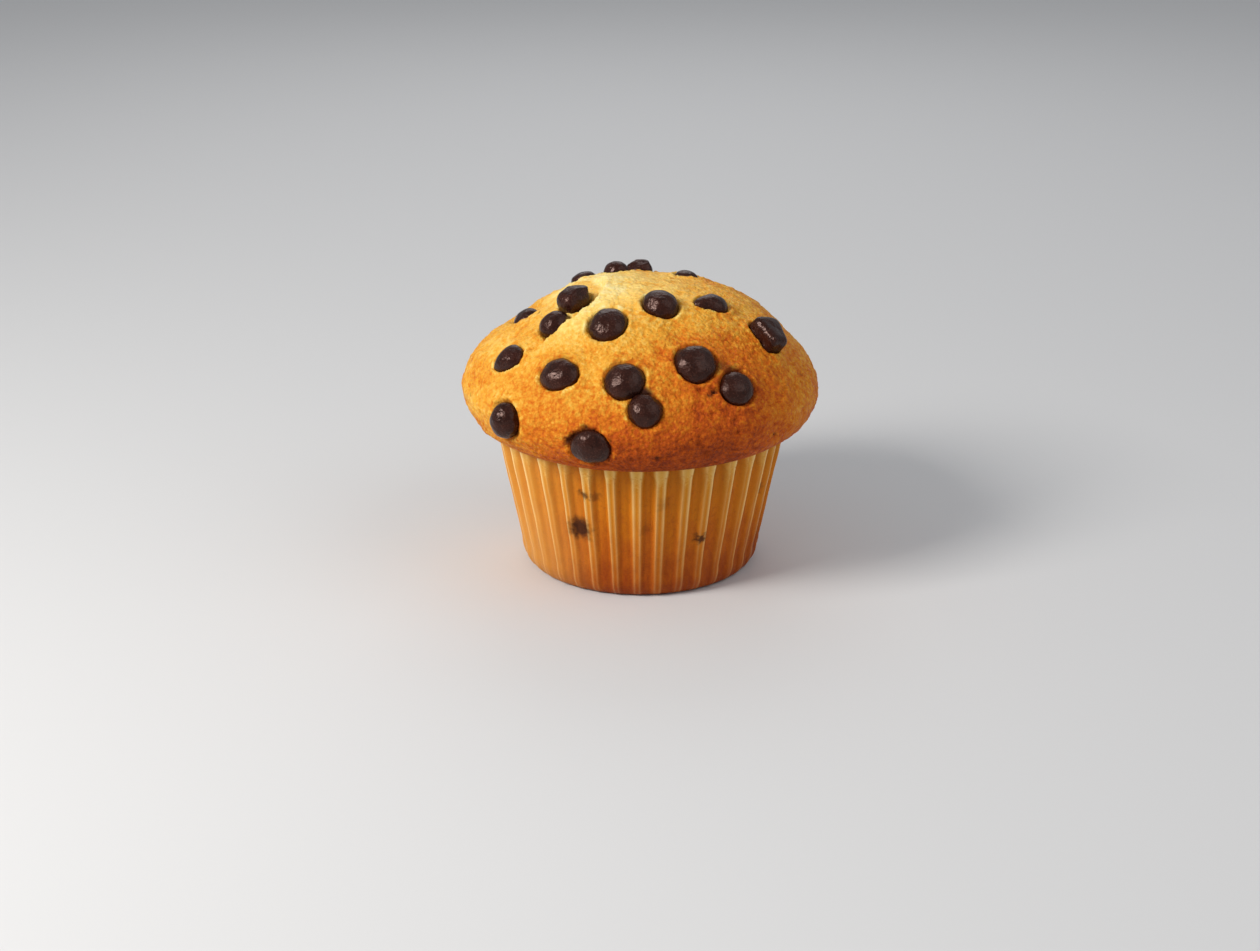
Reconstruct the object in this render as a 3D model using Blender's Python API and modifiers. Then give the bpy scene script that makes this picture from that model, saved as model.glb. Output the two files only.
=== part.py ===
"""A domed muffin with chocolate chips, baked in a pleated paper case.

Metres, +Z up. The origin is the centre of the case's flat underside, and the front faces -Y.
Azimuths are in degrees round the muffin, 0 at the front and positive towards +X. A lift is the angle
that says how far up the cap a point lies: 90 at the top, 0 where the cap is widest, below 0 under its lip.
"""

import math

import bpy
import bmesh
from mathutils import Euler, Matrix, Vector

MM = 0.001

# Paper case
BASE_RADIUS = 22.1 * MM
HEEL_RADIUS = 24.3 * MM
HEEL_HEIGHT = 2.2 * MM
RIM_RADIUS = 29.9 * MM
RIM_HEIGHT = 29.1 * MM
PAPER = 0.25 * MM
PLEATS = 36
PLEAT_AT_HEEL = 0.3 * MM
PLEAT_AT_RIM = 0.9 * MM
# One pleat, as shares of its pitch: the panel's two ends, then the two edges of the fold between panels.
PLEAT_POINTS = ((0.0, 1.0), (0.62, 1.0), (0.76, 0.0), (0.86, 0.0))

# Cake
GAP = 0.3 * MM
CAP_RADIUS = 36.1 * MM
WIDEST_HEIGHT = 38.2 * MM
HEIGHT = 59.9 * MM
LIP_DEPTH = 7.4 * MM
LIP_DROP = 8.8 * MM
DOME_FULLNESS = 0.94
DOME_ROUNDNESS = 0.56
AROUND = 60
DOME_LIFTS = (90, 84, 77, 70, 63, 56, 49, 42, 35, 28, 20, 12, 5)
LIP_LIFTS = (-4, -16, -30, -46, -64, -90)
# Uneven rise: waves round the lip as (waves, size, phase in degrees), and the top's lean to the right.
LIP_WAVES = ((2, 0.25 * MM, 40), (3, 0.35 * MM, 200), (5, 0.25 * MM, 75))
TOP_LEAN = 1.1 * MM
LEAN_FROM, LEAN_TO = 44 * MM, 54 * MM
# Swellings and hollows of the crust: azimuth, lift, width and height. They push away from the cap's middle.
SWELLS = (
    (160, 80, 9.5 * MM, -1.2 * MM),
    (-90, 14, 13.0 * MM, 1.0 * MM),
    (-104, 48, 7.0 * MM, -2.1 * MM),
    (90, 32, 9.0 * MM, -0.6 * MM),
    (42, -38, 6.0 * MM, 0.5 * MM),
)
CAP_MIDDLE = Vector((0.0, 0.0, 34 * MM))
# Edges where dough broke through and stands over a lobe of older crust: the lobe's centre and radius, the
# directions from its centre between which the edge shows, how far the dough rises and the lobe sinks, the
# edge's width, and how far the rise and the sink reach.
LEDGES = (
    (Vector((-22.5 * MM, -2.5 * MM)), 14.5 * MM, -80, 40, 0.9 * MM, 1.3 * MM, 2.0 * MM, 6.0 * MM),
    (Vector((-22.5 * MM, 7.0 * MM)), 10.0 * MM, -120, -70, 0.5 * MM, 1.0 * MM, 2.0 * MM, 4.0 * MM),
)
LEDGE_FADE_IN, LEDGE_FADE_OUT = (-20, 10), (30, 0)

# Chocolate chips
CHIP_SEGMENTS = 8
CHIP_RINGS = 6
# azimuth, lift, width, length, thickness (mm), share of the thickness that its middle is sunk, turn of the
# length about the crust's normal (degrees), form
CHIPS = (
    (-23, 58.9, 8.7, 8.5, 6.2, 0.1, 0, "drop"),
    (11.6, 70.1, 6.9, 7.5, 5.8, 0.0, 30, "drop"),
    (55, 65.4, 6.7, 7.2, 4.8, 0.1, 60, "drop"),
    (63.7, 43.8, 7.6, 7.2, 5.6, 0.05, 0, "chunk"),
    (20.8, 41.7, 8.9, 8.2, 5.9, 0.1, 45, "drop"),
    (35.3, 26.8, 7.7, 6.9, 5.0, 0.1, 0, "drop"),
    (-7.2, 35.1, 8.1, 7.6, 5.5, 0.1, 60, "drop"),
    (1.2, 20.8, 6.7, 6.7, 4.8, 0.1, 20, "drop"),
    (-15.9, -12.9, 8.3, 7.0, 5.0, 0.1, 0, "drop"),
    (-47.7, -0.8, 7.4, 6.9, 4.9, 0.1, 0, "drop"),
    (-32.6, 34.0, 8.4, 7.0, 5.0, 0.1, 15, "drop"),
    (-59.9, 33.2, 6.9, 6.5, 4.7, 0.1, 150, "drop"),
    (-64.2, 65.8, 6.2, 6.6, 6.0, -0.12, 20, "chunk"),
    (-54.6, 54.2, 5.8, 5.8, 5.2, -0.1, 0, "drop"),
    (-96.4, 45, 6.4, 5.6, 4.0, 0.1, 30, "drop"),
    (-136, 61, 5.6, 5.2, 3.5, 0.1, 0, "drop"),
    (-154, 69, 5.6, 5.0, 4.6, 0.0, 40, "drop"),
    (-176.5, 60, 5.6, 5.8, 5.4, -0.1, 10, "chunk"),
    (140, 69.6, 5.0, 4.6, 2.9, 0.1, 0, "drop"),
    (-148, -13, 6.2, 6.0, 4.4, 0.1, 0, "drop"),
    (153, 39, 8.0, 7.6, 5.5, 0.1, 30, "drop"),
    (135, 27, 7.8, 7.4, 5.3, 0.1, 80, "drop"),
    (158, 20.5, 8.2, 7.6, 5.5, 0.1, 10, "drop"),
    (143, 3, 7.4, 7.8, 5.3, 0.1, 0, "drop"),
    (177, 41, 7.6, 7.8, 5.5, 0.1, 50, "drop"),
    (178, 22.5, 8.0, 7.6, 5.5, 0.1, 120, "drop"),
    (-162, 40, 7.8, 7.2, 5.2, 0.1, 0, "drop"),
    (-160, 14, 8.2, 7.2, 5.2, 0.1, 30, "drop"),
    (-146, 28, 7.0, 6.6, 4.8, 0.1, 60, "chunk"),
    (-137, 9, 7.8, 7.2, 5.2, 0.1, 100, "drop"),
    (-118, -8, 7.2, 7.0, 5.0, 0.1, 0, "drop"),
    (123, -9, 7.6, 7.0, 5.0, 0.1, 20, "drop"),
    (-175, -10, 8.0, 7.2, 5.2, 0.1, 0, "drop"),
    (165, 0, 7.4, 7.0, 5.0, 0.1, 40, "drop"),
)

CRUMB_COLOUR = (0.66, 0.33, 0.08, 1.0)
CHIP_COLOUR = (0.035, 0.014, 0.009, 1.0)
PAPER_COLOUR = (0.56, 0.25, 0.06, 1.0)


def clear_scene():
    for thing in list(bpy.data.objects):
        bpy.data.objects.remove(thing, do_unlink=True)


def new_collection(name):
    collection = bpy.data.collections.new(name)
    bpy.context.scene.collection.children.link(collection)
    return collection


def new_material(name, colour, roughness):
    material = bpy.data.materials.new(name)
    material.use_nodes = True
    shader = material.node_tree.nodes["Principled BSDF"]
    shader.inputs["Base Color"].default_value = colour
    shader.inputs["Roughness"].default_value = roughness
    shader.inputs["Metallic"].default_value = 0.0
    material.diffuse_color = colour
    return material


def add_object(name, mesh, collection, material):
    thing = bpy.data.objects.new(name, mesh)
    mesh.materials.clear()
    mesh.materials.append(material)
    mesh.shade_smooth()
    collection.objects.link(thing)
    return thing


def applied(thing):
    """The object's mesh with its modifiers applied."""
    graph = bpy.context.evaluated_depsgraph_get()
    return bpy.data.meshes.new_from_object(thing.evaluated_get(graph))


def smooth_step(low, high, value):
    share = min(max((value - low) / (high - low), 0.0), 1.0)
    return share * share * (3 - 2 * share)


def wall_radius(height):
    """Radius of the case's wall at the outer edge of its folds."""
    share = (height - HEEL_HEIGHT) / (RIM_HEIGHT - HEEL_HEIGHT)
    return HEEL_RADIUS + (RIM_RADIUS - HEEL_RADIUS) * share


# ---- cake ----


def cap_profile(lift):
    """Radius and height of the evenly risen cap at a lift."""
    angle = math.radians(lift)
    side, up = max(math.cos(angle), 0.0), math.sin(angle)
    if lift >= 0:
        rise = (HEIGHT - WIDEST_HEIGHT) * (DOME_ROUNDNESS * up + (1 - DOME_ROUNDNESS) * up * up)
        return CAP_RADIUS * side**DOME_FULLNESS, WIDEST_HEIGHT + rise
    return CAP_RADIUS - LIP_DEPTH + LIP_DEPTH * side, WIDEST_HEIGHT + LIP_DROP * up


def even_point(azimuth, lift):
    """A point on the evenly risen cap."""
    radius, height = cap_profile(lift)
    angle = math.radians(azimuth)
    return Vector((radius * math.sin(angle), -radius * math.cos(angle), height))


def ledge_height(x, y):
    """How far the crust stands above or below an even dome, beside the edges of its lobes."""
    lifted = 0.0
    for centre, radius, start, end, rise, sink, width, reach in LEDGES:
        spoke = Vector((x, y)) - centre
        turn = math.degrees(math.atan2(spoke.y, spoke.x))
        fade = smooth_step(start + LEDGE_FADE_IN[0], start + LEDGE_FADE_IN[1], turn)
        fade *= smooth_step(end + LEDGE_FADE_OUT[0], end + LEDGE_FADE_OUT[1], turn)
        past = spoke.length - radius
        stands = smooth_step(-width, width, past)
        near = math.exp(-abs(past) / reach)
        lifted += fade * near * (stands * rise - (1 - stands) * sink)
    return lifted


def swell_height(point):
    height = 0.0
    for azimuth, lift, width, swell in SWELLS:
        apart = (point - even_point(azimuth, lift)).length
        height += swell * math.exp(-((apart / width) ** 2))
    return height


def risen(point):
    """The place that a point of the evenly risen cake takes in the uneven one."""
    azimuth = math.atan2(point.x, -point.y)
    radius = math.hypot(point.x, point.y)
    in_cap = smooth_step(WIDEST_HEIGHT - LIP_DROP, WIDEST_HEIGHT - LIP_DROP / 2, point.z)
    waves = sum(size * math.sin(count * azimuth + math.radians(phase)) for count, size, phase in LIP_WAVES)
    grown = radius + in_cap * waves * radius / CAP_RADIUS
    scale = grown / radius if radius > 0 else 1.0
    lean = TOP_LEAN * smooth_step(LEAN_FROM, LEAN_TO, point.z)
    above = smooth_step(WIDEST_HEIGHT, WIDEST_HEIGHT + LIP_DROP, point.z)
    lifted = above * ledge_height(point.x, point.y)
    swollen = (point - CAP_MIDDLE).normalized() * swell_height(point) * in_cap
    return Vector((point.x * scale + lean, point.y * scale, point.z + lifted)) + swollen


def crust_point(azimuth, lift):
    return risen(even_point(azimuth, lift))


def crust_normal(azimuth, lift, step=2.0):
    across = crust_point(azimuth + step, lift) - crust_point(azimuth - step, lift)
    upward = crust_point(azimuth, lift + step) - crust_point(azimuth, lift - step)
    return across.cross(upward).normalized()


def cake_outline():
    """The turned outline, from the top of the cap down its outer side to the middle of the base."""
    neck_radius = wall_radius(RIM_HEIGHT) - PLEAT_AT_RIM - PAPER - GAP
    heel_radius = HEEL_RADIUS - PLEAT_AT_HEEL - PAPER - GAP
    floor = PAPER + GAP
    outline = [cap_profile(lift) for lift in DOME_LIFTS + LIP_LIFTS]
    outline.append((neck_radius, RIM_HEIGHT))
    outline.append((heel_radius, HEEL_HEIGHT))
    outline.append((BASE_RADIUS - GAP, floor))
    outline.append((0.0, floor))
    return outline


def turned_mesh(name, outline, steps):
    """An outline in the XZ plane, turned once round Z."""
    mesh = bpy.data.meshes.new(name)
    shape = bmesh.new()
    corners = [shape.verts.new((radius, 0.0, height)) for radius, height in outline]
    for upper, lower in zip(corners, corners[1:]):
        shape.edges.new((upper, lower))
    shape.to_mesh(mesh)
    shape.free()
    guide = bpy.data.objects.new(name, mesh)
    bpy.context.scene.collection.objects.link(guide)
    screw = guide.modifiers.new("Turn", "SCREW")
    screw.axis = "Z"
    screw.steps = steps
    screw.render_steps = steps
    screw.use_merge_vertices = True
    screw.merge_threshold = 0.00001
    turned = applied(guide)
    bpy.data.objects.remove(guide, do_unlink=True)
    return turned


def make_cake(collection, material, cutters):
    mesh = turned_mesh("muffin_crumb", cake_outline(), AROUND)
    for vertex in mesh.vertices:
        vertex.co = risen(vertex.co)
    cake = add_object("muffin_crumb", mesh, collection, material)
    for cutter in cutters:
        pocket = cake.modifiers.new("Pocket_" + cutter.name, "BOOLEAN")
        pocket.operation = "DIFFERENCE"
        pocket.solver = "EXACT"
        pocket.object = cutter
    return cake


# ---- paper case ----


def pleated_ring(height, edge, depth):
    """Points round one level of the case: folds stand out to the edge radius, panels lie depth inside it."""
    ring = []
    for pleat in range(PLEATS):
        for share, inset in PLEAT_POINTS:
            angle = 2 * math.pi * (pleat + share) / PLEATS
            radius = edge - inset * depth
            ring.append(Vector((radius * math.sin(angle), -radius * math.cos(angle), height)))
    return ring


def make_case(collection, material):
    levels = (
        pleated_ring(0.0, BASE_RADIUS, 0.0),
        pleated_ring(HEEL_HEIGHT, HEEL_RADIUS, PLEAT_AT_HEEL),
        pleated_ring(RIM_HEIGHT, RIM_RADIUS, PLEAT_AT_RIM),
    )
    shape = bmesh.new()
    bmesh.ops.create_circle(shape, cap_ends=True, segments=len(levels[0]), radius=BASE_RADIUS)
    rim = sorted(shape.verts, key=lambda vertex: math.atan2(vertex.co.x, -vertex.co.y) % (2 * math.pi))
    for vertex, place in zip(rim, levels[0]):
        vertex.co = place
    for level in levels[1:]:
        edges = [shape.edges.get((a, b)) for a, b in zip(rim, rim[1:] + rim[:1])]
        grown = bmesh.ops.extrude_edge_only(shape, edges=edges)["geom"]
        fresh = {part for part in grown if isinstance(part, bmesh.types.BMVert)}
        next_rim = []
        for vertex, place in zip(rim, level):
            above = next(e.other_vert(vertex) for e in vertex.link_edges if e.other_vert(vertex) in fresh)
            above.co = place
            next_rim.append(above)
        rim = next_rim
    bmesh.ops.recalc_face_normals(shape, faces=shape.faces)
    base = min(shape.faces, key=lambda face: face.calc_center_median().z)
    if base.normal.z > 0:
        bmesh.ops.reverse_faces(shape, faces=shape.faces)
    mesh = bpy.data.meshes.new("paper_case")
    shape.to_mesh(mesh)
    shape.free()
    case = add_object("paper_case", mesh, collection, material)
    mesh.set_sharp_from_angle(angle=math.radians(25))
    wall = case.modifiers.new("Paper", "SOLIDIFY")
    wall.thickness = PAPER
    wall.offset = -1.0
    wall.use_even_offset = True
    return case


# ---- chocolate chips ----


def drop_mesh(name, width, length, thickness):
    """A drop: a round ball, drawn to a blunt tip at one end of its length."""
    shape = bmesh.new()
    bmesh.ops.create_uvsphere(shape, u_segments=CHIP_SEGMENTS, v_segments=CHIP_RINGS, radius=0.5)
    for vertex in shape.verts:
        along = vertex.co.y * 2
        slim = 1.0 - 0.16 * max(along, 0.0)
        vertex.co.x *= width * slim
        vertex.co.y *= length
        vertex.co.z *= thickness * slim
    mesh = bpy.data.meshes.new(name)
    shape.to_mesh(mesh)
    shape.free()
    return mesh


def chunk_mesh(name, width, length, thickness):
    """A broken chip: a block with uneven sides and worn edges."""
    shape = bmesh.new()
    bmesh.ops.create_cube(shape, size=1.0)
    for vertex in shape.verts:
        taper = 0.9 - 0.12 * (vertex.co.y > 0) + 0.1 * (vertex.co.x > 0)
        vertex.co.x *= width * taper
        vertex.co.y *= length * 0.92
        vertex.co.z *= thickness * (0.95 - 0.12 * (vertex.co.x > 0))
    bmesh.ops.bevel(shape, geom=shape.edges[:], offset=0.15 * width, segments=1, affect="EDGES")
    mesh = bpy.data.meshes.new(name)
    shape.to_mesh(mesh)
    shape.free()
    return mesh


def chip_place(azimuth, lift, sink, turn):
    """Where a chip sits: pressed into the crust, its thickness along the crust's normal."""
    normal = crust_normal(azimuth, lift)
    centre = crust_point(azimuth, lift) - normal * sink
    side = Vector((math.cos(math.radians(azimuth)), math.sin(math.radians(azimuth)), 0.0))
    up = normal.cross(side).normalized()
    side = up.cross(normal).normalized()
    frame = Matrix((side, up, normal)).transposed().to_4x4()
    return Matrix.Translation(centre) @ frame @ Euler((0, 0, math.radians(turn))).to_matrix().to_4x4()


def make_chips(collection, cutters_in, material):
    cutters = []
    forms = {"drop": drop_mesh, "chunk": chunk_mesh}
    for number, (azimuth, lift, width, length, thickness, sunk, turn, form) in enumerate(CHIPS, 1):
        name = f"chip_{number:02d}"
        place = chip_place(azimuth, lift, sunk * thickness * MM, turn)
        sizes = (width * MM, length * MM, thickness * MM)
        chip = add_object(name, forms[form](name, *sizes), collection, material)
        chip.matrix_world = place
        sizes = [size + 2 * GAP for size in sizes]
        cutter = add_object("pocket_" + name, forms[form]("pocket_" + name, *sizes), cutters_in, material)
        cutter.matrix_world = place
        cutter.hide_render = True
        cutter.display_type = "WIRE"
        cutters.append(cutter)
    return cutters


def main():
    clear_scene()
    parts = new_collection("muffin")
    pockets = new_collection("chip_pockets")
    crumb = new_material("golden_crumb", CRUMB_COLOUR, 0.75)
    chocolate = new_material("dark_chocolate", CHIP_COLOUR, 0.38)
    paper = new_material("greaseproof_paper", PAPER_COLOUR, 0.55)
    cutters = make_chips(parts, pockets, chocolate)
    make_cake(parts, crumb, cutters)
    make_case(parts, paper)


main()
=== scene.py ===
"""The finish of a chocolate chip muffin: its risen crust, its chips and its pleated paper case."""

import math
import random
from contextlib import contextmanager

import bmesh
import bpy
import numpy as np
from mathutils import Matrix, Vector, noise


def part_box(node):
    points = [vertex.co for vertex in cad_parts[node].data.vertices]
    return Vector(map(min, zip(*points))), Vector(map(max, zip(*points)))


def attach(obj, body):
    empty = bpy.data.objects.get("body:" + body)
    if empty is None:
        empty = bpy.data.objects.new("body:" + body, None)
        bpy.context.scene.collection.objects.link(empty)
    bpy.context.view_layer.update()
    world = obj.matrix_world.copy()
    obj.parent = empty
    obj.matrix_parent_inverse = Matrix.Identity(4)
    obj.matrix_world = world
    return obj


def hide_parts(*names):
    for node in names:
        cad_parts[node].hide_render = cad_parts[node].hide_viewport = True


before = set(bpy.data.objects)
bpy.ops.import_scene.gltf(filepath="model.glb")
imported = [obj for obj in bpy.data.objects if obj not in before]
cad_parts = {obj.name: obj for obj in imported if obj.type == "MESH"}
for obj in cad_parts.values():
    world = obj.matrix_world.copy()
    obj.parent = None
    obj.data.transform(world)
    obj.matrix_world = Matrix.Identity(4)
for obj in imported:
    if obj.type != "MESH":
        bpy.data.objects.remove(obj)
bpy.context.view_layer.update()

MM = 0.001
_, CASE_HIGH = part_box("paper_case")
CHIP_NAMES = sorted(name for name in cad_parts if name.startswith("chip_"))

# ---- driving dimensions ----

# A place on the cap is an azimuth, in degrees round from the front (-Y) towards the right (+X), and a
# lift: 90 is the cap's top, 0 its widest and -90 the underside of its lip.

# The evenly risen cap, before it grew its waves, lean and crack.
CAP_RADIUS = 36.1 * MM
CAP_WIDEST = 38.2 * MM
CAP_TOP = 59.9 * MM
LIP_DEPTH = 7.4 * MM
LIP_DROP = 8.8 * MM
DOME_FULLNESS = 0.94
DOME_ROUNDNESS = 0.56
# Waves round the cap: how many, their size, and their phase in degrees.
LIP_WAVES = ((2, 0.25 * MM, 40), (3, 0.35 * MM, 200), (5, 0.25 * MM, 75))
# The top leans to the right, fully so above the second height.
TOP_LEAN = 1.1 * MM
LEAN_HEIGHTS = (44 * MM, 54 * MM)

# The case: flat base, rounded heel, straight flared wall, pleats that deepen towards the rim.
RIM_HEIGHT = CASE_HIGH[2]
RIM_RADIUS = CASE_HIGH[0]
HEEL_HEIGHT = 5.0 * MM
HEEL_RADIUS = 24.9 * MM
BASE_RADIUS = 22.1 * MM
PLEATS = 36
PAPER = 0.12 * MM

# The cake inside the case: its neck under the rim, its floor, and the room it leaves for the pleats.
NECK_RADIUS = RIM_RADIUS - 1.45 * MM
NECK_HEIGHT = RIM_HEIGHT - 0.4 * MM
CAKE_FLOOR = 0.5 * MM
CAKE_GAP = 1.5 * MM

# Cracks, where pale dough broke out and stands over an older lobe of crust: lobe centre, lobe radius,
# the directions from that centre between which the crack runs (degrees from +X), the dough's rise, the
# sink beside it, how far they reach, and half the width of the slope between them.
SCARPS = (
    (Vector((-22.5, -2.5)) * MM, 14.1 * MM, -82, 16, 1.4 * MM, 1.3 * MM, 5.0 * MM, 0.45 * MM),
    (Vector((-22.5, 7.0)) * MM, 10.0 * MM, -122, -68, 0.5 * MM, 0.9 * MM, 3.6 * MM, 0.80 * MM),
)

# A crack fades in round its first end and out round its last: from and to, in degrees past that end.
FADE_IN = (-18, 12)
FADE_OUT = (25, -5)

# Swellings and hollows: azimuth, lift, width, height. They push away from the cap's middle.
SWELLS = (
    (160, 80, 9.5 * MM, -1.2 * MM),
    (-90, 14, 13.0 * MM, 1.0 * MM),
    (-104, 48, 7.0 * MM, -2.1 * MM),
    (90, 32, 9.0 * MM, -0.6 * MM),
    (42, -38, 6.0 * MM, 0.5 * MM),
    (-112, 46, 6.0 * MM, -1.2 * MM),
    (17, 60, 2.8 * MM, -0.7 * MM),
    (16, 52, 2.6 * MM, -0.5 * MM),
)
CAP_MIDDLE = Vector((0.0, 0.0, 34 * MM))

# How each chip lies: width, length, thickness (mm), turn about the crust's normal (degrees), form, and
# how angular it is.
CHIP_LOOKS = (
    (8.1, 8.9, 6.3, 0, "round", 0.15), (7.1, 7.7, 5.9, 30, "round", 0.45),
    (6.9, 7.4, 4.9, 60, "leaf", 0.4), (7.0, 7.2, 6.6, -28, "block", 0.5),
    (9.1, 8.4, 6.1, 45, "round", 0.55), (7.9, 7.1, 5.1, 0, "round", 0.3),
    (8.3, 7.8, 5.6, 60, "round", 0.35), (6.9, 6.9, 4.9, 20, "round", 0.3),
    (8.5, 7.2, 5.1, 0, "round", 0.35), (7.0, 7.4, 6.4, 0, "round", 0.10),
    (8.6, 7.2, 5.1, 15, "round", 0.4), (7.1, 6.7, 4.8, 150, "leaf", 0.5),
    (5.7, 7.2, 6.0, 20, "chunk", 0.9), (6.6, 6.6, 5.6, 0, "egg", 0.2),
    (6.6, 5.8, 4.1, 30, "round", 0.3), (5.6, 5.2, 3.1, 0, "round", 0.3),
    (5.0, 5.2, 4.3, 40, "round", 0.3), (5.9, 6.0, 4.1, 10, "chunk", 0.9),
    (5.2, 4.8, 3.1, 0, "round", 0.3), (6.4, 6.2, 4.5, 0, "round", 0.4),
    (8.2, 7.8, 5.6, 30, "round", 0.3), (8.0, 7.6, 5.4, 80, "leaf", 0.4),
    (8.4, 7.8, 5.6, 10, "round", 0.3), (7.6, 8.0, 5.4, 0, "leaf", 0.3),
    (7.8, 8.0, 5.6, 50, "round", 0.5), (8.2, 7.8, 5.6, 120, "round", 0.2),
    (8.0, 7.4, 5.3, 0, "leaf", 0.5), (8.4, 7.4, 5.3, 30, "round", 0.3),
    (7.2, 6.8, 4.9, 60, "chunk", 0.9), (8.0, 7.4, 5.3, 100, "leaf", 0.3),
    (7.4, 7.2, 5.1, 0, "round", 0.4), (7.8, 7.2, 5.1, 20, "round", 0.3),
    (8.2, 7.4, 5.3, 0, "leaf", 0.4), (7.6, 7.2, 5.1, 40, "round", 0.3),
)

# Chips that lean from the crust's own direction: degrees anticlockwise, from above.
CHIP_TILTS = {"chip_10": 32.0}

# Small holes and specks in the crust, each sunk to its depth and painted dark as shade: azimuth, lift,
# width (mm), depth (mm).
SPECKS = (
    (5, -26, 0.7, 0.2), (-77, 53.5, 0.6, 0.2), (26, 27, 1.1, 0.9), (24, 25.5, 0.6, 0.5),
    (-21, -0.5, 1.2, 1.0), (-23, -7.5, 1.4, 1.0), (-17.5, 9, 0.9, 0.8), (-9, -1, 0.6, 0.5),
    (70, 20, 0.5, 0.3), (-70, 5, 0.5, 0.3), (95, 30, 0.8, 0.5), (150, -20, 0.7, 0.3),
    (-140, -20, 0.8, 0.4), (120, 40, 0.7, 0.5), (-125, 36, 0.6, 0.4), (48, -22, 0.5, 0.3),
)

# Chocolate smeared over the crust: from one azimuth and lift to another, width (mm), strength.
SMEARS = (
    (-0.5, 31, 2, 28.5, 2.0, 1.0), (27.5, 39.5, 37, 33.5, 2.2, 0.6), (-23, -5, -20, 2, 1.3, 0.9),
    (-18.5, 6, -15, 6.5, 1.1, 0.8), (32, 20, 38, 18.5, 0.8, 0.6), (-28, 57, -25, 62, 0.5, 0.4),
    (18, 66, 20, 68, 0.6, 0.5), (160, 28, 166, 26, 1.2, 0.7), (-150, 20, -146, 18, 1.3, 0.6),
    (128, -2, 134, 2, 1.0, 0.5),
)

# Chips in the cake that show dark through the paper: azimuth, height (mm), width (mm), strength.
SHADOWED_CHIPS = (
    (-23.5, 23.0, 2.4, 0.85), (-18.5, 22.8, 2.2, 0.45), (-27, 15.0, 5.0, 0.95),
    (27.0, 12.8, 2.6, 0.9), (9.5, 21.75, 3.0, 0.25), (2, 16.0, 2.4, 0.25), (62, 19.0, 2.8, 0.7),
    (98, 11.0, 3.6, 0.8), (121, 21.5, 1.6, 0.7), (150, 15.0, 3.8, 0.85), (186, 22.5, 1.8, 0.6),
    (203, 10.5, 3.0, 0.8), (241, 18.0, 3.6, 0.85), (262, 24.0, 1.4, 0.6), (284, 12.5, 2.4, 0.8),
)


# ---- working by hand ----


def alone(thing):
    """Selects one object and nothing else, and makes it the active one."""
    bpy.ops.object.select_all(action="DESELECT")
    thing.select_set(True)
    bpy.context.view_layer.objects.active = thing


@contextmanager
def editing(thing):
    """Edit mode on one object, for the lines inside."""
    alone(thing)
    bpy.ops.object.mode_set(mode="EDIT")
    yield thing
    bpy.ops.object.mode_set(mode="OBJECT")


def choose_corners(test):
    """In edit mode, selects the vertices that pass a test, and nothing else."""
    bpy.ops.mesh.select_mode(type="VERT")
    bpy.ops.mesh.select_all(action="DESELECT")
    mesh = bpy.context.edit_object.data
    shape = bmesh.from_edit_mesh(mesh)
    for corner in shape.verts:
        if test(corner):
            corner.select_set(True)
    shape.select_flush(True)
    bmesh.update_edit_mesh(mesh)


def named(name):
    """Names the object that was just made."""
    thing = bpy.context.object
    thing.name = name
    thing.data.name = name
    return thing


def apply_modifier(thing, kind, **settings):
    """Puts a modifier on an object and applies it straight away."""
    alone(thing)
    modifier = thing.modifiers.new(kind.title(), kind)
    for key, value in settings.items():
        setattr(modifier, key, value)
    bpy.ops.object.modifier_apply(modifier=modifier.name)


def smooth(thing, angle=None):
    """Shades an object smooth, but for edges sharper than the angle, where one is given (degrees)."""
    alone(thing)
    if angle is None:
        bpy.ops.object.shade_smooth()
    else:
        bpy.ops.object.shade_smooth_by_angle(angle=math.radians(angle))


def points_of(mesh):
    flat = np.empty(len(mesh.vertices) * 3)
    mesh.vertices.foreach_get("co", flat)
    return flat.reshape(-1, 3)


def normals_of(mesh):
    flat = np.empty(len(mesh.vertices) * 3)
    mesh.vertex_normals.foreach_get("vector", flat)
    return flat.reshape(-1, 3)


def move_points(mesh, points):
    mesh.vertices.foreach_set("co", np.ascontiguousarray(points, np.float32).ravel())
    mesh.update()


def paint(mesh, name, values):
    """Keeps one number for each vertex, for a material to read."""
    layer = mesh.attributes.new(name, "FLOAT", "POINT")
    layer.data.foreach_set("value", np.ascontiguousarray(values, np.float32))


def step(low, high, values):
    """Rises smoothly from 0 at the low value to 1 at the high one, or falls if they are swapped."""
    share = np.clip((values - low) / (high - low), 0.0, 1.0)
    return share * share * (3 - 2 * share)


def bell(distance, width, power=2):
    """1 where the distance is 0, and almost nothing at twice the width. A higher power is squarer."""
    return np.exp(-((distance / width) ** power))


def grain(points, size, seed=0.0):
    """Smooth noise from -1 to 1 at each point, with lumps about as wide as the size."""
    shift = Vector((seed * 7.3, seed * 3.1, seed * 5.7))
    return np.array([noise.noise(Vector(point) + shift) for point in points / size])


def cell_distance(points, size, shift):
    """How far each point is from the middle of its random cell, as a share of the cells' size."""
    return np.array([noise.voronoi(Vector(point) + shift)[0][0] for point in points / size])


def even_ball(name, cuts):
    """A unit ball of even squares: a cube, cut up and blown out."""
    bpy.ops.object.select_all(action="DESELECT")
    bpy.ops.mesh.primitive_cube_add(size=2.0)
    ball = named(name)
    with editing(ball):
        bpy.ops.mesh.select_all(action="SELECT")
        bpy.ops.mesh.subdivide(number_cuts=cuts)
    points = np.tan(points_of(ball.data) * math.pi / 4)
    move_points(ball.data, points / np.linalg.norm(points, axis=1, keepdims=True))
    return ball


# ---- shader maths ----


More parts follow.
